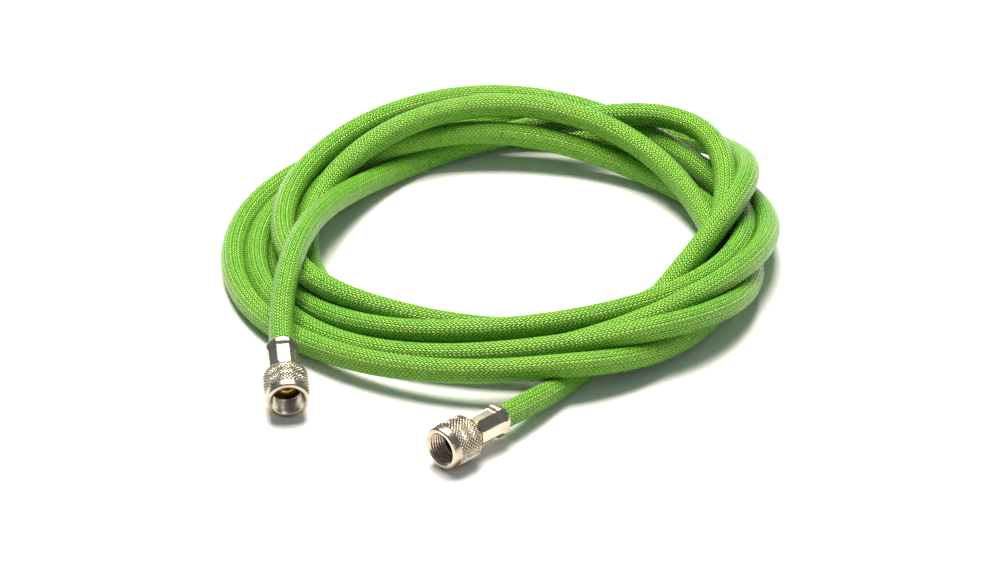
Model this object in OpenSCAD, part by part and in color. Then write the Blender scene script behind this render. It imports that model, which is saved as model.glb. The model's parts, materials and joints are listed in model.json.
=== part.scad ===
/* [Hose] */
// Outer diameter over the braided jacket
hose_d = 7; // [6:0.5:8]
// Outer diameter of the air tube inside the jacket
liner_d = 5.6; // [5:0.1:5.8]
// Bore of the air tube
liner_bore = 4.4; // [4.2:0.1:4.6]

/* [Coil] */
// Outer radius of the coiled turns
coil_outer_r = 83; // [80:1:86]
// Inner radius of the coiled turns
coil_inner_r = 49; // [46:1:52]
// Height of the coiled turns, two layers of hose
coil_h = 14; // [13:0.5:16]
// Rounding of the coil's outline
coil_round = 5; // [3:0.5:6]

/* [Swivel nut] */
// Largest diameter, over the knurled band
nut_d = 13; // [12.6:0.1:13.4]
// Length from the back face to the mouth
nut_len = 10.95; // [10.5:0.05:11.5]
// Crest diameter of the G1/8 internal thread
thread_d = 8.566; // [8.566:0.001:8.6]
// Length of the threaded wall
thread_len = 5; // [4.6:0.1:5.4]
// Diameter of the thread relief behind the thread
relief_d = 9.8; // [9.6:0.1:10]
// Thickness of the wall that turns on the nipple's neck
nut_wall = 2.1; // [1.8:0.1:2.4]

/* [Ferrule] */
// Length from the hose end to the end wall
ferrule_len = 11.2; // [11:0.1:11.4]
// Width of the crimped body over two flats
crimp_flats = 7.9; // [7.8:0.1:8.1]
// Width of the uncrimped bulge over two flats
bulge_flats = 9.4; // [9:0.1:9.8]
// Number of crimping flats
flat_count = 8; // [6, 8, 10]

/* [Nipple] */
// Bore that the air passes through
air_d = 3.2; // [3:0.1:3.4]
// Diameter of the neck that the nut turns on
neck_d = 6; // [5.8:0.1:6.2]
// Diameter of the shoulder that holds the nut
shoulder_d = 8.2; // [8:0.1:8.3]
// Diameter of the seat that the mating fitting closes on
seat_d = 6.2; // [6:0.1:6.4]

/* [Slip ring] */
// Outer diameter of the ring between ferrule and nut
ring_d = 9.4; // [9:0.1:9.8]
// Thickness of the ring
ring_t = 0.55; // [0.5:0.05:0.6]
// Free travel of the nut and its ring along the neck
play = 1; // [0.8:0.05:1]

/* [Hidden] */

$fn = 64;
eps = 0.01;
gap = 0.05;              // running gap between faces that slide on each other
neck_clear = 0.07;       // radial clearance on the nipple's neck
jacket_green = "yellowgreen";
liner_white = "gainsboro";
nickel = "silver";
brass = "goldenrod";

coil_centre = [0, 20];
bevel = 0.3 * coil_round; // how far the bevels of the coil's outline reach

// stations along a fitting's axis, from the ferrule's hose end at 0 to the mouth
lip_end = 0.8;
bulge_end = 3.8;
end_wall = 1;            // thickness of the ferrule's end wall
hose_end = ferrule_len - end_wall;
barb_start = 1.5;
ring_at = ferrule_len + play + gap;
nut_at = ring_at + ring_t + gap;
shoulder_at = nut_at + nut_wall + gap;
shoulder_t = 1.8;
shoulder_end = shoulder_at + shoulder_t;
mouth_at = nut_at + nut_len;
mouth_chamfer = 0.6;
thread_at = mouth_at - mouth_chamfer - thread_len;
seat_back = 0.4;         // how far the seat stands behind the thread
seat_at = thread_at - seat_back;

// small edges and steps
lip_wall = 0.35;         // wall of the ferrule's thin lip
lip_flare = 0.2;
bulge_flare = 0.7;       // how far the turned bulge stands outside its flats
body_flare = 0.6;
barb_tooth = 0.1;        // how far a barb stands out of, and its root into, the tube's bore
barb_land = 0.2;
edge_cut = 0.3;          // edges of the nipple's shoulder and seat
back_step = 1.2;         // the nut's back face inside its knurl
back_slope = 0.9;
band_depth = 0.35;       // the smooth band inside the knurl
knurl_gap = 1.3;         // from the back face to the knurl
band_len = 2.9;          // from the knurl to the mouth
knurl_edge = 0.4;
mouth_edge = 0.6;

// each fitting: centre of its mouth, how far it dips towards the mouth, and its heading
mouth_a = [-59.5, -73.5, 6];
dip_a = 10;
heading_a = 6;
mouth_b = [-17, -100, 6.5];
dip_b = 0;
heading_b = -45;

// the hose's route from the coil to each fitting's ferrule
route_a = [
    [-10, 82, 4], [-15, 80, 4], [-20, 77, 4], [-25, 73, 4], [-30, 68, 4], [-35, 62, 5], [-40, 54, 7],
    [-44, 48, 9], [-48, 40, 11], [-51, 31, 12], [-53, 23, 14], [-56, 11, 15], [-58, 2, 16],
    [-60, -7, 17], [-61, -20, 16], [-62, -30, 15], [-63, -38, 13]
];
route_b = [
    [10, 95, 4], [25, 96, 4], [39, 92, 4], [51, 84, 4], [60, 74, 6], [66, 63, 10], [69, 51, 14],
    [69, 37, 18], [65, 20, 18], [58, 5, 15], [49, -9, 11], [41, -22, 7], [34, -34, 4], [26, -46, 4],
    [18, -57, 4], [11, -67, 4], [5, -76, 5]
];

function axis_of(dip, heading) = [cos(dip) * sin(heading), -cos(dip) * cos(heading), -sin(dip)];
function ferrule_at(mouth, dip, heading) = mouth - mouth_at * axis_of(dip, heading);
function unit(v) = v / norm(v);

// direction of a route at point i, from its neighbours
function along(p, i) = unit(p[min(i + 1, len(p) - 1)] - p[max(i - 1, 0)]);

module swept_tube(p, d, last, sides = 10) {
    ring = [for (k = [0 : sides - 1]) 360 * k / sides];
    points = [
        for (i = [0 : len(p) - 1])
            let (t = i == len(p) - 1 ? last : along(p, i))
            let (side = unit(cross([0, 0, 1], t)), up = cross(t, side))
            for (a = ring) p[i] + d / 2 * (cos(a) * side + sin(a) * up)
    ];
    walls = [
        for (i = [0 : len(p) - 2], k = [0 : sides - 1])
            let (m = (k + 1) % sides)
            [i * sides + k, (i + 1) * sides + k, (i + 1) * sides + m, i * sides + m]
    ];
    first_cap = [for (k = [0 : sides - 1]) k];
    last_cap = [for (k = [sides - 1 : -1 : 0]) (len(p) - 1) * sides + k];
    polyhedron(points = points, faces = concat([first_cap, last_cap], walls));
}

module place_a() {
    translate(ferrule_at(mouth_a, dip_a, heading_a)) rotate([90 + dip_a, 0, heading_a]) children();
}

module place_b() {
    translate(ferrule_at(mouth_b, dip_b, heading_b)) rotate([90 + dip_b, 0, heading_b]) children();
}

module pipe(from, to, outer_d, inner_d) {
    translate([0, 0, from]) difference() {
        cylinder(h = to - from, d = outer_d);
        translate([0, 0, -eps]) cylinder(h = to - from + 2 * eps, d = inner_d);
    }
}

module liner_end() {
    pipe(0, hose_end, liner_d, liner_bore);
}

module braid_end() {
    pipe(0, hose_end, hose_d, liner_d);
}

module facets(from, to, flats) {
    translate([0, 0, from]) rotate(180 / flat_count)
        cylinder(h = to - from, d = flats / cos(180 / flat_count), $fn = flat_count);
}

module ferrule() {
    lip_r = hose_d / 2 + lip_wall;
    bulge_r = bulge_flats / 2 + bulge_flare;
    step_r = crimp_flats / 2 + body_flare;
    difference() {
        union() {
            cylinder(h = lip_end + eps, r = lip_r);
            intersection() {
                facets(lip_end, bulge_end, bulge_flats);
                rotate_extrude() polygon([
                    [0, 0], [lip_r + lip_flare, 0], [lip_r + lip_flare, lip_end], [bulge_r, lip_end + end_wall],
                    [bulge_r, bulge_end - end_wall], [step_r, bulge_end + gap], [0, bulge_end + gap]
                ]);
            }
            facets(bulge_end - eps, ferrule_len, crimp_flats);
        }
        translate([0, 0, -eps]) cylinder(h = hose_end + eps, d = hose_d);
        translate([0, 0, hose_end - eps]) cylinder(h = end_wall + 2 * eps, d = neck_d);
    }
}

module nipple() {
    valley_r = liner_bore / 2 - barb_tooth;
    barb_r = liner_bore / 2 + barb_tooth;
    barb_pitch = 2;
    barb_count = 4;
    barbs = [
        for (i = [0 : barb_count - 1])
            each [
                [valley_r, barb_start + i * barb_pitch],
                [barb_r, barb_start + (i + 1) * barb_pitch - barb_land]
            ]
    ];
    difference() {
        rotate_extrude() polygon(concat([[0, barb_start]], barbs, [
            [valley_r, hose_end], [neck_d / 2, hose_end], [neck_d / 2, shoulder_at],
            [shoulder_d / 2, shoulder_at], [shoulder_d / 2, shoulder_end - edge_cut],
            [shoulder_d / 2 - edge_cut, shoulder_end], [seat_d / 2, shoulder_end],
            [seat_d / 2, seat_at - edge_cut], [seat_d / 2 - edge_cut, seat_at], [0, seat_at]
        ]));
        translate([0, 0, barb_start - eps]) cylinder(h = seat_at - barb_start + 2 * eps, d = air_d);
    }
}

module slip_ring() {
    pipe(ring_at, ring_at + ring_t, ring_d, neck_d + 2 * neck_clear);
}

module swivel_nut() {
    knurl_r = nut_d / 2;
    back_r = knurl_r - back_step;
    band_r = knurl_r - band_depth;
    mouth_r = knurl_r - mouth_edge;
    knurl_start = nut_at + knurl_gap;
    knurl_end = mouth_at - band_len;
    difference() {
        rotate_extrude() polygon([
            [0, nut_at], [back_r, nut_at], [band_r, nut_at + back_slope], [knurl_r, knurl_start],
            [knurl_r, knurl_end], [band_r, knurl_end + knurl_edge], [band_r, mouth_at - mouth_edge],
            [mouth_r, mouth_at], [0, mouth_at]
        ]);
        translate([0, 0, nut_at - eps]) cylinder(h = nut_wall + 2 * eps, d = neck_d + 2 * neck_clear);
        translate([0, 0, nut_at + nut_wall]) cylinder(h = thread_at - nut_at - nut_wall, d = relief_d);
        translate([0, 0, thread_at - eps]) cylinder(h = mouth_at - thread_at + 2 * eps, d = thread_d);
        translate([0, 0, mouth_at - mouth_chamfer])
            cylinder(h = mouth_chamfer + eps, d1 = thread_d, d2 = thread_d + 2 * mouth_chamfer);
    }
}

module hose_coil() {
    r = coil_round;
    color(jacket_green) translate(coil_centre) rotate_extrude($fn = 96) polygon([
        [coil_inner_r + r, 0], [coil_outer_r - r, 0],
        [coil_outer_r - bevel, bevel], [coil_outer_r, r], [coil_outer_r, coil_h - r],
        [coil_outer_r - bevel, coil_h - bevel], [coil_outer_r - r, coil_h],
        [coil_inner_r + r, coil_h], [coil_inner_r + bevel, coil_h - bevel],
        [coil_inner_r, coil_h - r], [coil_inner_r, r], [coil_inner_r + bevel, bevel]
    ]);
}

module hose_run_a() {
    end = ferrule_at(mouth_a, dip_a, heading_a);
    color(jacket_green) swept_tube(concat(route_a, [end]), hose_d, axis_of(dip_a, heading_a));
}

module hose_run_b() {
    end = ferrule_at(mouth_b, dip_b, heading_b);
    color(jacket_green) swept_tube(concat(route_b, [end]), hose_d, axis_of(dip_b, heading_b));
}

module liner_end_a() { color(liner_white) place_a() liner_end(); }
module liner_end_b() { color(liner_white) place_b() liner_end(); }
module braid_end_a() { color(jacket_green) place_a() braid_end(); }
module braid_end_b() { color(jacket_green) place_b() braid_end(); }
module ferrule_a() { color(nickel) place_a() ferrule(); }
module ferrule_b() { color(nickel) place_b() ferrule(); }
module nipple_a() { color(brass) place_a() nipple(); }
module nipple_b() { color(brass) place_b() nipple(); }
module slip_ring_a() { color(nickel) place_a() slip_ring(); }
module slip_ring_b() { color(nickel) place_b() slip_ring(); }
module swivel_nut_a() { color(nickel) place_a() swivel_nut(); }
module swivel_nut_b() { color(nickel) place_b() swivel_nut(); }

hose_coil();
hose_run_a();
hose_run_b();
liner_end_a();
liner_end_b();
braid_end_a();
braid_end_b();
ferrule_a();
ferrule_b();
nipple_a();
nipple_b();
slip_ring_a();
slip_ring_b();
swivel_nut_a();
swivel_nut_b();
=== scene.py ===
"""A braided air hose in a loose coil, with a crimped ferrule and a knurled union nut on each end."""

import json
import math

import bpy
import numpy as np
from mathutils import Matrix, Vector


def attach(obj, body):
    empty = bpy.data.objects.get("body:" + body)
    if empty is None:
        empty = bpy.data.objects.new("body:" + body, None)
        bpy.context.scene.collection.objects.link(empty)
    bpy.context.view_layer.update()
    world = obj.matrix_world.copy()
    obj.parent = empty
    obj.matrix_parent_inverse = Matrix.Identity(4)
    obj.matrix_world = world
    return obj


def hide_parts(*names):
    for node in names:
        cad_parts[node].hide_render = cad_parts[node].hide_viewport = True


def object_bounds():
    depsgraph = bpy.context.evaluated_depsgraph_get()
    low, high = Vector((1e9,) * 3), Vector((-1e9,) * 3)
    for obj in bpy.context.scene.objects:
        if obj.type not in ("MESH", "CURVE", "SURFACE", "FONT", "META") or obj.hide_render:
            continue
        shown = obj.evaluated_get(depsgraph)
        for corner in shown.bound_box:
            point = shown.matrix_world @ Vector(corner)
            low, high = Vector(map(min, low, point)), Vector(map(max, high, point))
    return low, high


MM = 0.001

# --- the hose, in millimetres, as in the CAD source --------------------------------------------

HOSE_D = 7.0
LINER_D = 5.6
COIL_CENTRE = (0.0, 20.0)
STEP = 3.5  # spacing of the points that the relaxation works on
DIRECTIONS = 8  # compass directions at which a turn's radius and height are given
POINTS_BETWEEN = 9  # points of the coil from one direction to the next
HOME_STIFFNESS, LAST_STIFFNESS = 400, 20  # how much the course is smoothed before and after settling
PINNED = 1e4  # a weight that holds a point in its place
OVERPUSH = 1.2  # strands are pushed apart by a little more than they overlap, to settle sooner
WATCHED = 3.0  # strands up to this much further apart than a diameter are watched for contact
FULL_WEIGHT_FOR, LIGHT_WEIGHT = 0.8, 0.3  # share of the rounds at full weight, and the rest's weight

# stations along a fitting's axis, from the ferrule's hose end to the mouth
LIP_END = 0.8
HOSE_END = 10.2
FERRULE_END = 11.2
RING_AT = 12.25
RING_END = 12.8
NUT_AT = 12.85
NUT_WALL_END = 14.95
SHOULDER_AT = 15.0
SHOULDER_END = 16.8
SEAT_AT = 17.8
THREAD_AT = 18.2
THREAD_END = 23.2
MOUTH_AT = 23.8

# the route from the coil to each ferrule, as in the CAD source
ROUTE_A = [
    (-10, 82, 4), (-15, 80, 4), (-20, 77, 4), (-25, 73, 4), (-30, 68, 4), (-35, 62, 5), (-40, 54, 7),
    (-44, 48, 9), (-48, 40, 11), (-51, 31, 12), (-53, 23, 14), (-56, 11, 15), (-58, 2, 16),
    (-60, -7, 17), (-61, -20, 16), (-62, -30, 15), (-63, -38, 13),
]
ROUTE_B = [
    (10, 95, 4), (25, 96, 4), (39, 92, 4), (51, 84, 4), (60, 74, 6), (66, 63, 10), (69, 51, 14),
    (69, 37, 18), (65, 20, 18), (58, 5, 15), (49, -9, 11), (41, -22, 7), (34, -34, 4), (26, -46, 4),
    (18, -57, 4), (11, -67, 4), (5, -76, 5),
]
# each turn of the coil, clockwise: its radius and its height at the back, back right, right, front
# right, front, front left, left and back left
TURNS = [
    ((71, 78, 68, 56, 54, 65, 64, 69), (4, 11, 9, 4, 4, 9, 10, 11)),
    ((77, 68, 70, 67, 64, 69, 68, 61), (10, 6, 10, 12, 9, 6, 4, 8)),
    ((54, 57, 69, 80, 72, 75, 72, 67), (11, 4, 4, 12, 10, 8, 10, 8)),
    ((66, 72, 76, 75, 66, 59, 57, 56), (6, 4, 10, 13, 5, 4, 4, 12)),
    ((58, 60, 64, 76, 82, 79, 73, 69), (16, 11, 4, 10, 8, 4, 4, 4)),
]


# --- the hose's path ------------------------------------------------------------------------------


class Fitting:
    """One end's fitting: where its axis starts and points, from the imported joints."""

    def __init__(self, end):
        self.end = end
        joint = next(j for j in frame["joints"] if j["name"] == f"nut_spin_{end}")
        self.axis = Vector(joint["axis"]).normalized()
        self.base = Vector(joint["pos_m"]) - self.axis * NUT_AT * MM
        dip = -math.asin(self.axis.z)
        heading = math.atan2(self.axis.x, -self.axis.y)
        turn = Matrix.Rotation(heading, 4, "Z") @ Matrix.Rotation(math.pi / 2 + dip, 4, "X")
        self.matrix = Matrix.Translation(self.base) @ turn

    def point(self, station):
        """The point on the axis at a station, in millimetres."""
        return np.array(self.base / MM + self.axis * station)


def resample(points, step):
    """Points evenly spaced along the polyline through points."""
    points = np.array(points, float)
    along = np.r_[0, np.cumsum(np.linalg.norm(np.diff(points, axis=0), axis=1))]
    even = np.linspace(0, along[-1], int(round(along[-1] / step)) + 1)
    return np.column_stack([np.interp(even, along, points[:, k]) for k in range(3)])


def bending(n):
    """The matrix whose quadratic form is a rod's bending energy."""
    d2 = np.zeros((n - 2, n))
    i = np.arange(n - 2)
    d2[i, i], d2[i, i + 1], d2[i, i + 2] = 1, -2, 1
    return d2.T @ d2


def fair(points, stiffness, held):
    """The points as a stiff rod would lie along them. The first and last held points don't move."""
    weight = np.ones(len(points))
    weight[:held] = weight[-held:] = PINNED
    return np.linalg.solve(
        np.diag(weight) + stiffness * bending(len(points)), weight[:, None] * points
    )


def spline(at, values, where):
    """A natural cubic spline through values at the given places."""
    n, h = len(at), np.diff(at)
    slope = np.diff(values, axis=0) / h[:, None]
    system, right = np.eye(n), np.zeros_like(values)
    for i in range(1, n - 1):
        system[i, i - 1 : i + 2] = h[i - 1], 2 * (h[i - 1] + h[i]), h[i]
        right[i] = 6 * (slope[i] - slope[i - 1])
    second = np.linalg.solve(system, right)
    k = np.clip(np.searchsorted(at, where) - 1, 0, n - 2)
    t, w = (where - at[k])[:, None], h[k][:, None]
    return (
        (second[k] * (w - t) ** 3 + second[k + 1] * t**3) / (6 * w)
        + (values[k] / w - second[k] * w / 6) * (w - t)
        + (values[k + 1] / w - second[k + 1] * w / 6) * t
    )


def coil_points():
    """The coil's turns: points every few degrees on a smooth curve through the values in TURNS."""
    table = np.array([pair for turn in TURNS for pair in zip(*turn)], float)
    places = np.arange(1, len(table) - 1 + 0.01, 1 / POINTS_BETWEEN)
    for k, (r, h) in zip(places, spline(np.arange(len(table)), table, places)):
        angle = math.radians(90 - 360 / DIRECTIONS * k)
        x, y = COIL_CENTRE[0] + r * math.cos(angle), COIL_CENTRE[1] + r * math.sin(angle)
        yield x, y, max(h, HOSE_D / 2)


def push_apart(p, near):
    """Moves the points of each near pair apart to one hose diameter."""
    a, b = near
    gap = p[a] - p[b]
    dist = np.linalg.norm(gap, axis=1)
    close = dist < HOSE_D
    a, b = a[close], b[close]
    push = ((HOSE_D - dist[close]) * 0.5 / dist[close])[:, None] * gap[close]
    total, count = np.zeros_like(p), np.zeros(len(p))
    for index, way in ((a, 1), (b, -1)):
        np.add.at(total, index, way * push)
        np.add.at(count, index, 1)
    p += total / np.maximum(count, 1)[:, None] * OVERPUSH


def settle(home, held, rounds=500, stiffness=100.0, hold=0.02, weight=0.05):
    """Lets the hose down under its weight: strands rest on the floor and on each other, about a
    diameter apart, and its stiffness spreads each hump."""
    n = len(home)
    stiff = np.eye(n) + stiffness * bending(n)
    fixed = np.zeros(n)
    fixed[:held] = fixed[-held:] = PINNED
    sideways = np.linalg.inv(stiff + np.diag(fixed + hold))
    upright = np.linalg.inv(stiff + np.diag(fixed))
    pairs = np.triu_indices(n, int(3 * HOSE_D / STEP))
    p = home.copy()
    for r in range(rounds):
        moved = p - home
        moved[:, 2] -= weight if r < FULL_WEIGHT_FOR * rounds else LIGHT_WEIGHT * weight
        p = home + np.column_stack([sideways @ moved[:, :2], upright @ moved[:, 2]])
        if r % 4 == 0:
            reach = np.linalg.norm(p[pairs[0]] - p[pairs[1]], axis=1) < HOSE_D + WATCHED
            near = pairs[0][reach], pairs[1][reach]
        for _ in range(3):
            push_apart(p, near)
            p[:, 2] = np.maximum(p[:, 2], HOSE_D / 2)
            p[:held], p[-held:] = home[:held], home[-held:]
    return p


def hose_path(a, b):
    """The hose's centreline from fitting a to fitting b, in millimetres, with its ends in the ferrules.
    The last smoothing lets strands that cross squash together a little."""
    held = int(HOSE_END / STEP) + 2
    start = [a.point(HOSE_END - k * STEP) for k in range(held)]
    end = [b.point(HOSE_END - k * STEP) for k in range(held)]
    points = resample([*start, *ROUTE_A[::-1], *coil_points(), *ROUTE_B, *end[::-1]], STEP)
    points[:held], points[-held:] = start, end[::-1]
    home = fair(points, HOME_STIFFNESS, held)
    return fair(settle(home, held), LAST_STIFFNESS, held)


# --- meshes ---------------------------------------------------------------------------------------


def new_object(name, vertices, faces, material, smooth_angle):
    """A shaded mesh object. Edges sharper than smooth_angle degrees stay sharp."""
    mesh = bpy.data.meshes.new(name)
    mesh.from_pydata(vertices.tolist(), [], faces.tolist())
    mesh.shade_smooth()
    mesh.set_sharp_from_angle(angle=math.radians(smooth_angle))
    mesh.materials.append(material)
    ob = bpy.data.objects.new(name, mesh)
    bpy.context.scene.collection.objects.link(ob)
    return ob


def ring_faces(rings, sides, closed=False):
    """Quads between rings of vertices. closed joins the last ring to the first."""
    i = np.arange(rings if closed else rings - 1)[:, None]
    k = np.arange(sides)[None, :]
    j, m = (i + 1) % rings, (k + 1) % sides
    return np.stack([i * sides + k, i * sides + m, j * sides + m, j * sides + k], -1).reshape(-1, 4)


def turned(name, profile, material, matrix, sides=96, shape=None, smooth_angle=35):
    """A part of revolution from a closed profile of (station, radius), in millimetres.
    shape(stations, radii, angles) may change the radii round the axis."""
    profile = np.array(profile, float)
    angle = np.linspace(0, 2 * math.pi, sides, endpoint=False)
    station = np.repeat(profile[:, :1], sides, axis=1)
    radius = np.repeat(profile[:, 1:], sides, axis=1)
    if shape:
        radius = shape(station, radius, angle[None, :])
    vertices = np.stack([radius * np.cos(angle), radius * np.sin(angle), station], -1).reshape(-1, 3)
    ob = new_object(name, vertices * MM, ring_faces(len(profile), sides, True), material, smooth_angle)
    ob.data.transform(matrix)
    return ob


def stretch(start, end, step):
    """Profile points from one (station, radius) to another, at most step apart."""
    start, end = np.array(start, float), np.array(end, float)
    count = max(1, math.ceil(np.linalg.norm(end - start) / step))
    return [tuple(start + (end - start) * k / count) for k in range(count)]


def hose_mesh(path, material, sides=28, ring_step=0.73):
    """The jacket as a tube along path, open at both ends down to the air tube, with its length and
    turn round the hose in a UV map."""
    along = np.r_[0, np.cumsum(np.linalg.norm(np.diff(path, axis=0), axis=1))]
    centre = resample(spline(along, path, np.arange(0, along[-1], 0.2)), ring_step)
    tangent = np.gradient(centre, axis=0)
    tangent /= np.linalg.norm(tangent, axis=1)[:, None]
    side = np.zeros_like(centre)
    side[0] = np.cross(tangent[0], (0, 0, 1))
    for i in range(1, len(centre)):
        side[i] = side[i - 1] - tangent[i] * (side[i - 1] @ tangent[i])
        side[i] /= np.linalg.norm(side[i])
    up = np.cross(tangent, side)
    inner = int(HOSE_END / ring_step)
    rings = [(i, LINER_D / 2) for i in range(inner, -1, -1)]
    rings += [(i, HOSE_D / 2) for i in range(len(centre))]
    rings += [(i, LINER_D / 2) for i in range(len(centre) - 1, len(centre) - 2 - inner, -1)]
    index = np.array([i for i, _ in rings])
    radius = np.array([r for _, r in rings])[:, None, None]
    angle = np.linspace(0, 2 * math.pi, sides, endpoint=False)[None, :, None]
    vertices = centre[index][:, None] + radius * (
        side[index][:, None] * np.cos(angle) + up[index][:, None] * np.sin(angle)
    )
    faces = ring_faces(len(rings), sides)
    ob = new_object("braided_hose", vertices.reshape(-1, 3) * MM, faces, material, 50)
    ring, k = faces // sides, faces % sides
    k[:, 1:3][k[:, 1:3] == 0] = sides  # the last column's far side is a full turn round
    uv = np.stack([index[ring] * ring_step, k / sides], -1)
    layer = ob.data.uv_layers.new(name="along_round")
    layer.data.foreach_set("uv", uv.astype(np.float32).ravel())
    return ob, centre


# --- the fittings ---------------------------------------------------------------------------------


def smoothstep(x, low, high):
    t = np.clip((x - low) / (high - low), 0, 1)
    return t * t * (3 - 2 * t)


def zigzag(x):
    """0 at whole numbers, 1 halfway between."""
    return 1 - np.abs(2 * (x % 1) - 1)


FLATS = 8
BULGE_FLAT_R, BODY_FLAT_R = 4.7, 3.95
RIDGE = 0.1  # height of the line that the crimping jaws leave between two flats
RIDGE_WIDTH = 0.045  # radians
SHARPNESS = 60  # a higher number makes a sharper edge where a flat meets the round outline
BULGE_FADE = 2.7, 4.3  # stations between which the bulge's flats step down to the body's
PRESS_START, PRESS_END = (3.6, 4.6), (10.4, 11.0)  # stations where the ridges rise and fade
BORE_LIMIT = 3.6  # a smaller radius than this belongs to the bore


def crimped(station, radius, angle):
    """The ferrule's outside: a soft octagon, pressed in past the bulge, with a ridge on each corner."""
    sector = math.pi / FLATS
    off_flat = (angle + sector) % (2 * sector) - sector
    flat = BULGE_FLAT_R + (BODY_FLAT_R - BULGE_FLAT_R) * smoothstep(station, *BULGE_FADE)
    octagon = flat / np.cos(off_flat)
    soft = (octagon**-SHARPNESS + radius**-SHARPNESS) ** (-1 / SHARPNESS)
    ridge = RIDGE * np.exp(-(((np.abs(off_flat) - sector) / RIDGE_WIDTH) ** 2))
    pressed = smoothstep(station, *PRESS_START) * (1 - smoothstep(station, *PRESS_END))
    outside = (radius > BORE_LIMIT) & (station > LIP_END)
    return np.where(outside, soft + ridge * pressed, radius)


def ferrule(f):
    outline = [
        (0.0, 3.55), (0.08, 3.75), (0.3, 3.85), (0.7, 3.92), (1.0, 4.15), (1.4, 4.75), (1.9, 5.0),
        (2.5, 5.02), (3.1, 4.95), (3.8, 4.7), (4.4, 4.5), (10.6, 4.5), (11.0, 4.35), (FERRULE_END, 4.15),
    ]
    profile = [p for a, b in zip(outline, outline[1:]) for p in stretch(a, b, 0.16)]
    profile += stretch(outline[-1], (FERRULE_END, 3.0), 0.4)
    profile += [(FERRULE_END, 3.0), (HOSE_END, 3.0), (HOSE_END, HOSE_D / 2), (0.0, HOSE_D / 2)]
    return turned(
        f"ferrule_{f.end}_crimped", profile, nickel("ferrule", 0.2), f.matrix, 192, crimped, 40
    )


def nipple(f):
    bore, stem, barb, neck, shoulder, seat = 1.6, 2.1, 2.3, 3.0, 4.1, 3.1
    start, tooth, land, pitch = 1.5, 1.6, 1.8, 2
    profile = [(start, bore), (start, stem)]
    for k in range(4):
        at = start + pitch * k
        profile += [(at, stem), (at + tooth, barb), (at + land, barb)]
    profile += [
        (HOSE_END, stem), (HOSE_END, neck), (SHOULDER_AT, neck),
        (SHOULDER_AT, shoulder - 0.1), (SHOULDER_AT + 0.1, shoulder),
        (SHOULDER_END - 0.3, shoulder), (SHOULDER_END, shoulder - 0.3),
        (SHOULDER_END, seat + 0.05), (SHOULDER_END + 0.05, seat),
        (SEAT_AT - 0.3, seat), (SEAT_AT - 0.1, seat - 0.1), (SEAT_AT, seat - 0.3),
        (SEAT_AT, 1.95), (SEAT_AT - 0.08, 1.75), (SEAT_AT - 0.3, bore),
    ]
    return turned(f"nipple_{f.end}_turned", profile, brass(), f.matrix, 96)


NECK_HOLE_R = 3.07  # the hole in the ring and in the nut, which turn and slide on the neck


def slip_ring(f):
    outer, edge, corner = 4.7, 0.12, 0.04
    profile = [
        (RING_AT, NECK_HOLE_R + edge), (RING_AT, outer - edge), (RING_AT + corner, outer - corner),
        (RING_AT + edge, outer), (RING_END - edge, outer), (RING_END - corner, outer - corner),
        (RING_END, outer - edge), (RING_END, NECK_HOLE_R + edge),
        (RING_END - edge, NECK_HOLE_R), (RING_AT + edge, NECK_HOLE_R),
    ]
    return turned(f"slip_ring_{f.end}_turned", profile, nickel("ring", 0.14), f.matrix, 128)


KNURL_R, BAND_R, BACK_R = 6.5, 6.15, 5.3
KNURL_COUNT = 36
KNURL_PITCH = 1.13  # along the axis, so that the diamonds are square
THREAD_R, THREAD_ROOT_R, THREAD_PITCH = 4.283, 4.83, 0.907
RELIEF_R = 4.9
POINT_GAIN = 1.2  # above 1, each knurled point has a small flat top
GROOVE_GAIN, CREST = 1.3, 0.15  # higher: steeper flanks on the thread, and a wider flat crest
THREAD_RUN_IN = 0.4  # the thread deepens over this length


def knurled_and_threaded(station, radius, angle):
    """Diamond points on the outside, where the profile stands above the smooth band, and a thread
    in the bore."""
    round_count = angle / (2 * math.pi)
    left = zigzag(KNURL_COUNT * round_count + station / KNURL_PITCH)
    right = zigzag(KNURL_COUNT * round_count - station / KNURL_PITCH)
    point = np.minimum(1, POINT_GAIN * np.minimum(left, right))
    knurled = np.minimum(radius, BAND_R - 0.05 + (KNURL_R - BAND_R + 0.05) * point)
    outside = np.where(radius > BAND_R, knurled, radius)
    groove = np.clip(GROOVE_GAIN * zigzag(station / THREAD_PITCH - round_count) - CREST, 0, 1)
    run_in = smoothstep(station, THREAD_AT, THREAD_AT + THREAD_RUN_IN)
    depth = (THREAD_ROOT_R - THREAD_R) * groove * run_in
    in_thread = (np.abs(radius - THREAD_R) < 0.01) & (station > THREAD_AT) & (station < THREAD_END)
    return np.where(in_thread, THREAD_R + depth, outside)


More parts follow.
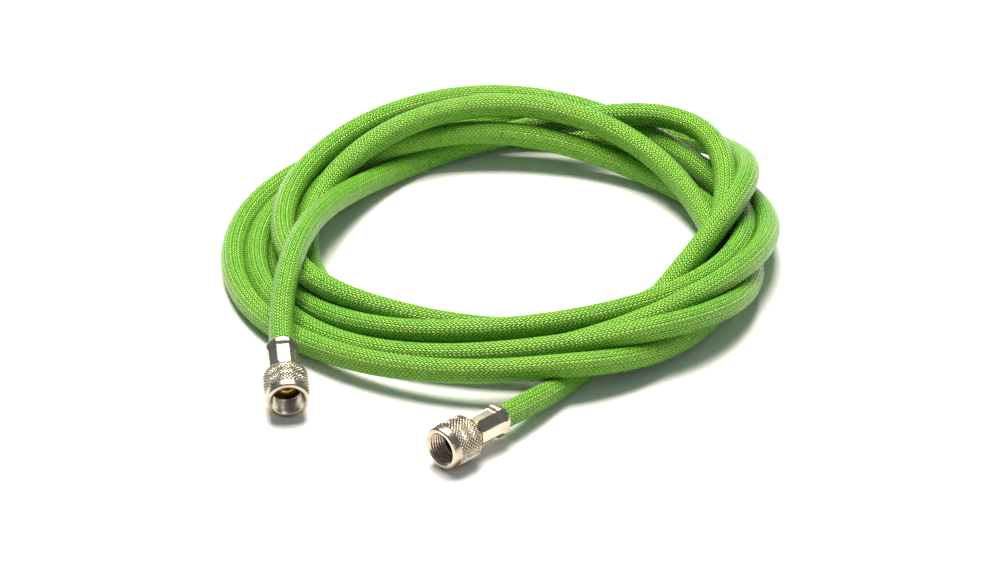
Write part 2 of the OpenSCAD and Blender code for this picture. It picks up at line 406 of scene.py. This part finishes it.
def swivel_nut(f):
    knurl_end, fine, coarse = 21.3, 0.11, 0.2
    outline = [
        (NUT_AT, BACK_R - 0.15), (NUT_AT + 0.05, BACK_R), (NUT_AT + 0.9, BAND_R), (NUT_AT + 1.3, KNURL_R),
        (20.9, KNURL_R), (knurl_end, BAND_R - 0.08), (21.5, BAND_R), (23.0, BAND_R),
        (23.25, BAND_R - 0.05), (23.5, 6.0), (23.68, 5.85), (23.77, 5.65),
        (MOUTH_AT, 5.4), (MOUTH_AT, 5.05), (MOUTH_AT - 0.05, 4.9),
        (THREAD_END + 0.05, THREAD_R + 0.05), (THREAD_END, THREAD_R),
    ]
    steps = [fine if station < knurl_end else coarse for station, _ in outline[:-1]]
    profile = [p for a, b, s in zip(outline, outline[1:], steps) for p in stretch(a, b, s)]
    profile += stretch((THREAD_END, THREAD_R), (THREAD_AT, THREAD_R), THREAD_PITCH / 10)
    profile += [
        (THREAD_AT, THREAD_R), (THREAD_AT - 0.1, RELIEF_R), (NUT_WALL_END, RELIEF_R),
        (NUT_WALL_END, NECK_HOLE_R + 0.1), (NUT_WALL_END - 0.1, NECK_HOLE_R),
        (NUT_AT + 0.1, NECK_HOLE_R), (NUT_AT, NECK_HOLE_R + 0.1),
    ]
    name = f"swivel_nut_{f.end}_knurled"
    return turned(name, profile, nickel("nut", 0.2), f.matrix, 360, knurled_and_threaded, 30)


# --- materials ------------------------------------------------------------------------------------


class Nodes:
    """Builds a material's node tree."""

    def __init__(self, name):
        self.material = bpy.data.materials.new(name)
        self.material.use_nodes = True
        self.tree = self.material.node_tree
        self.shader = self.tree.nodes["Principled BSDF"]

    def add(self, kind, inputs=(), **settings):
        node = self.tree.nodes.new(kind)
        for key, value in settings.items():
            setattr(node, key, value)
        for key, value in dict(inputs).items():
            self.put(node, key, value)
        return node

    def put(self, node, key, value):
        """Sets an input to a constant, or links it to a socket."""
        if isinstance(value, bpy.types.NodeSocket):
            self.tree.links.new(value, node.inputs[key])
        else:
            node.inputs[key].default_value = value

    def math(self, operation, *values):
        return self.add("ShaderNodeMath", enumerate(values), operation=operation).outputs[0]

    def mix(self, factor, a, b):
        node = self.add("ShaderNodeMix", {0: factor, 6: a, 7: b}, data_type="RGBA")
        return node.outputs[2]

    def ramp(self, value, low, high, to_low=0.0, to_high=1.0):
        node = self.add(
            "ShaderNodeMapRange",
            {"Value": value, "From Min": low, "From Max": high, "To Min": to_low, "To Max": to_high},
        )
        return node.outputs[0]

    def noise(self, scale, detail):
        place = self.add("ShaderNodeTexCoord").outputs["Object"]
        node = self.add("ShaderNodeTexNoise", {"Scale": scale, "Detail": detail, "Vector": place})
        return node.outputs[0]

    def bump(self, height, distance, strength):
        node = self.add("ShaderNodeBump", {"Strength": strength, "Distance": distance, "Height": height})
        self.put(self.shader, "Normal", node.outputs[0])

    def finish(self, **inputs):
        for key, value in inputs.items():
            self.put(self.shader, key.replace("_", " "), value)
        return self.material


YARNS = 28  # in each direction round the hose
BRAID_PITCH = 36.4  # millimetres along the hose for one turn of a yarn
RIPPLE = 25.0  # radians of filament ripple across one yarn, about four filaments
RIPPLE_HEIGHT = 0.04  # as a share of a yarn's height


def braided_yarn():
    """Glossy yarn braided two over, two under: each yarn shows as short slanted floats, with
    painted shade darkening the gaps between them."""
    m = Nodes("braided_yarn")
    uv = m.add("ShaderNodeUVMap", uv_map="along_round").outputs[0]
    split = m.add("ShaderNodeSeparateXYZ", {0: uv})
    along, round_count = split.outputs[0], split.outputs[1]
    turns = m.math("MULTIPLY", round_count, YARNS)
    run = m.math("MULTIPLY", along, YARNS / BRAID_PITCH)
    left, right = m.math("ADD", turns, run), m.math("SUBTRACT", turns, run)

    def floats(across, other):
        """The place across the yarn, and the place along it, which runs from 0 to 2. The left-hand
        yarns are on top in its first half, and the right-hand ones in its second."""
        place = m.math("ADD", other, m.math("FLOOR", across))
        return m.math("FRACT", across), m.math("MULTIPLY", m.math("FLOORED_MODULO", place, 4.0), 0.5)

    def dome(x, power):
        """1 in the middle of 0 to 1, and 0 at its ends."""
        parabola = m.math("MULTIPLY", m.math("MULTIPLY", x, 4.0), m.math("SUBTRACT", 1.0, x))
        return m.math("POWER", m.math("MAXIMUM", parabola, 0.0), power)

    across_a, place_a = floats(left, right)
    across_b, place_b = floats(right, left)
    a_on_top = m.math("LESS_THAN", place_a, 1.0)
    high_a = m.math("MULTIPLY", dome(across_a, 0.5), dome(place_a, 0.4))
    high_b = m.math("MULTIPLY", dome(across_b, 0.5), dome(m.math("SUBTRACT", place_b, 1.0), 0.4))
    height = m.math("MAXIMUM", m.math("MULTIPLY", high_a, a_on_top), high_b)

    across = m.math(
        "ADD",
        m.math("MULTIPLY", across_a, a_on_top),
        m.math("MULTIPLY", across_b, m.math("SUBTRACT", 1.0, a_on_top)),
    )
    filament = m.math("SINE", m.math("MULTIPLY", across, RIPPLE))
    relief = m.math("ADD", height, m.math("MULTIPLY", filament, RIPPLE_HEIGHT))
    m.bump(relief, 0.00028, 1.0)

    shade = m.noise(900.0, 2.0)
    patch = m.noise(60.0, 2.0)
    green, lime, yellowed = (0.07, 0.38, 0.03, 1), (0.19, 0.55, 0.02, 1), (0.30, 0.56, 0.015, 1)
    # painted shade: a near-black green for the low places between the yarns, where shade falls
    gap = (0.004, 0.075, 0.014, 1)
    yarn = m.mix(m.ramp(shade, 0.35, 0.65), green, lime)
    yarn = m.mix(m.ramp(patch, 0.3, 0.7, 0.0, 0.3), yarn, yellowed)
    # the colour turns to the painted shade where the yarns' relief is low, in the gaps between them
    colour = m.mix(m.ramp(height, 0.3, 0.95), gap, yarn)
    rough = m.ramp(shade, 0.3, 0.7, 0.26, 0.36)
    return m.finish(
        Base_Color=colour, Roughness=rough, Specular_IOR_Level=0.9, Specular_Tint=(1.0, 1.0, 0.35, 1)
    )


def nickel(name, roughness):
    """Bright nickel plate, slightly warm, with fine rubbing marks and duller patches."""
    m = Nodes(f"nickel_{name}")
    patch = m.noise(180.0, 3.0)
    fine = m.noise(2500.0, 2.0)
    colour = m.mix(m.ramp(patch, 0.35, 0.7), (0.62, 0.54, 0.45, 1), (0.45, 0.38, 0.30, 1))
    m.bump(fine, 0.00002, 0.25)
    rough = m.ramp(patch, 0.3, 0.7, roughness, roughness + 0.12)
    return m.finish(Base_Color=colour, Roughness=rough, Metallic=1.0)


def brass():
    """Machined brass, with a fine grainy bump and a little tarnish."""
    m = Nodes("turned_brass")
    tarnish = m.noise(400.0, 3.0)
    colour = m.mix(m.ramp(tarnish, 0.35, 0.7), (0.86, 0.60, 0.22, 1), (0.62, 0.38, 0.10, 1))
    m.bump(m.noise(3000.0, 1.0), 0.00002, 0.3)
    return m.finish(Base_Color=colour, Roughness=m.ramp(tarnish, 0.3, 0.7, 0.24, 0.36), Metallic=1.0)


def air_tube():
    """The milky polyurethane tube inside the jacket."""
    m = Nodes("milky_polyurethane")
    cloud = m.noise(300.0, 2.0)
    colour = m.mix(cloud, (0.70, 0.71, 0.66, 1), (0.80, 0.80, 0.76, 1))
    m.bump(m.noise(1200.0, 2.0), 0.00003, 0.3)
    return m.finish(Base_Color=colour, Roughness=m.ramp(cloud, 0.3, 0.7, 0.35, 0.5))


# --- camera, light and floor ----------------------------------------------------------------------


def make_camera(box):
    """A long lens 30 degrees above the floor."""
    centre = Vector(((box[0].x + box[1].x) / 2, (box[0].y + box[1].y) / 2, 0))
    aim = centre + Vector((-0.0006, 0.004, 0))
    distance, elevation = 1.7, math.radians(30)
    data = bpy.data.cameras.new("camera")
    data.lens = 211.1
    data.clip_end = 20
    camera = bpy.data.objects.new("camera", data)
    camera.location = aim + distance * Vector((0, -math.cos(elevation), math.sin(elevation)))
    camera.rotation_euler = (math.pi / 2 - elevation, 0, 0)
    bpy.context.scene.collection.objects.link(camera)
    bpy.context.scene.camera = camera


def softbox(name, place, size, power, colour=(1, 1, 1)):
    """A square soft lamp that points at the middle of the floor."""
    data = bpy.data.lights.new(name, "AREA")
    data.shape, data.size, data.energy, data.color = "SQUARE", size, power, colour
    lamp = bpy.data.objects.new(name, data)
    lamp.location = place
    lamp.rotation_euler = (-Vector(place)).to_track_quat("-Z", "Y").to_euler()
    bpy.context.scene.collection.objects.link(lamp)


def make_studio():
    scene = bpy.context.scene
    scene.view_settings.view_transform = "Standard"
    world = bpy.data.worlds.new("studio")
    world.use_nodes = True
    background = world.node_tree.nodes["Background"]
    background.inputs["Color"].default_value = (0.82, 0.95, 1.0, 1)
    background.inputs["Strength"].default_value = 0.2
    scene.world = world
    softbox("key", (-0.05, 0.4, 1.0), 0.7, 31, (1.0, 0.97, 0.86))
    softbox("front", (0.5, -1.1, 0.5), 0.4, 1.2)

    bpy.ops.mesh.primitive_plane_add(size=6)
    floor = bpy.context.object
    floor.name = "floor"
    m = Nodes("white_floor")
    floor.data.materials.append(m.finish(Base_Color=(0.93, 0.93, 0.93, 1), Roughness=0.6))


# --- the scene ------------------------------------------------------------------------------------

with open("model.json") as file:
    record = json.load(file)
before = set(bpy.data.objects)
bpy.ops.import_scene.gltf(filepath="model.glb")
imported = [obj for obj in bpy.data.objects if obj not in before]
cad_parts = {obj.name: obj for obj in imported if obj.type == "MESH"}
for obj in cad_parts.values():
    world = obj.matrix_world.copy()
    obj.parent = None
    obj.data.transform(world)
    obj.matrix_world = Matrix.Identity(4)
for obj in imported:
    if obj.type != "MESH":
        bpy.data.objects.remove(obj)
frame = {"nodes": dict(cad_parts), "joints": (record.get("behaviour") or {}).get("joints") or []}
cad_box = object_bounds()
make_camera(cad_box)

end_a, end_b = Fitting("a"), Fitting("b")
hose, centreline = hose_mesh(hose_path(end_a, end_b), braided_yarn())
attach(hose, "hose")
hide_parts("hose_coil", "hose_run_a", "hose_run_b", "braid_end_a", "braid_end_b")

tube_material = air_tube()
for f in (end_a, end_b):
    for make, node, body, slot in (
        (ferrule, "ferrule", "hose", "ferrule_nickel"),
        (nipple, "nipple", "hose", "nipple_brass"),
        (slip_ring, "slip_ring", f"slip_ring_{f.end}", "ring_nickel"),
        (swivel_nut, "swivel_nut", f"swivel_nut_{f.end}", "nut_nickel"),
    ):
        piece = make(f)
        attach(piece, body)
        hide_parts(f"{node}_{f.end}")
    liner = frame["nodes"][f"liner_end_{f.end}"]
    liner.data.materials.clear()
    liner.data.materials.append(tube_material)

make_studio()
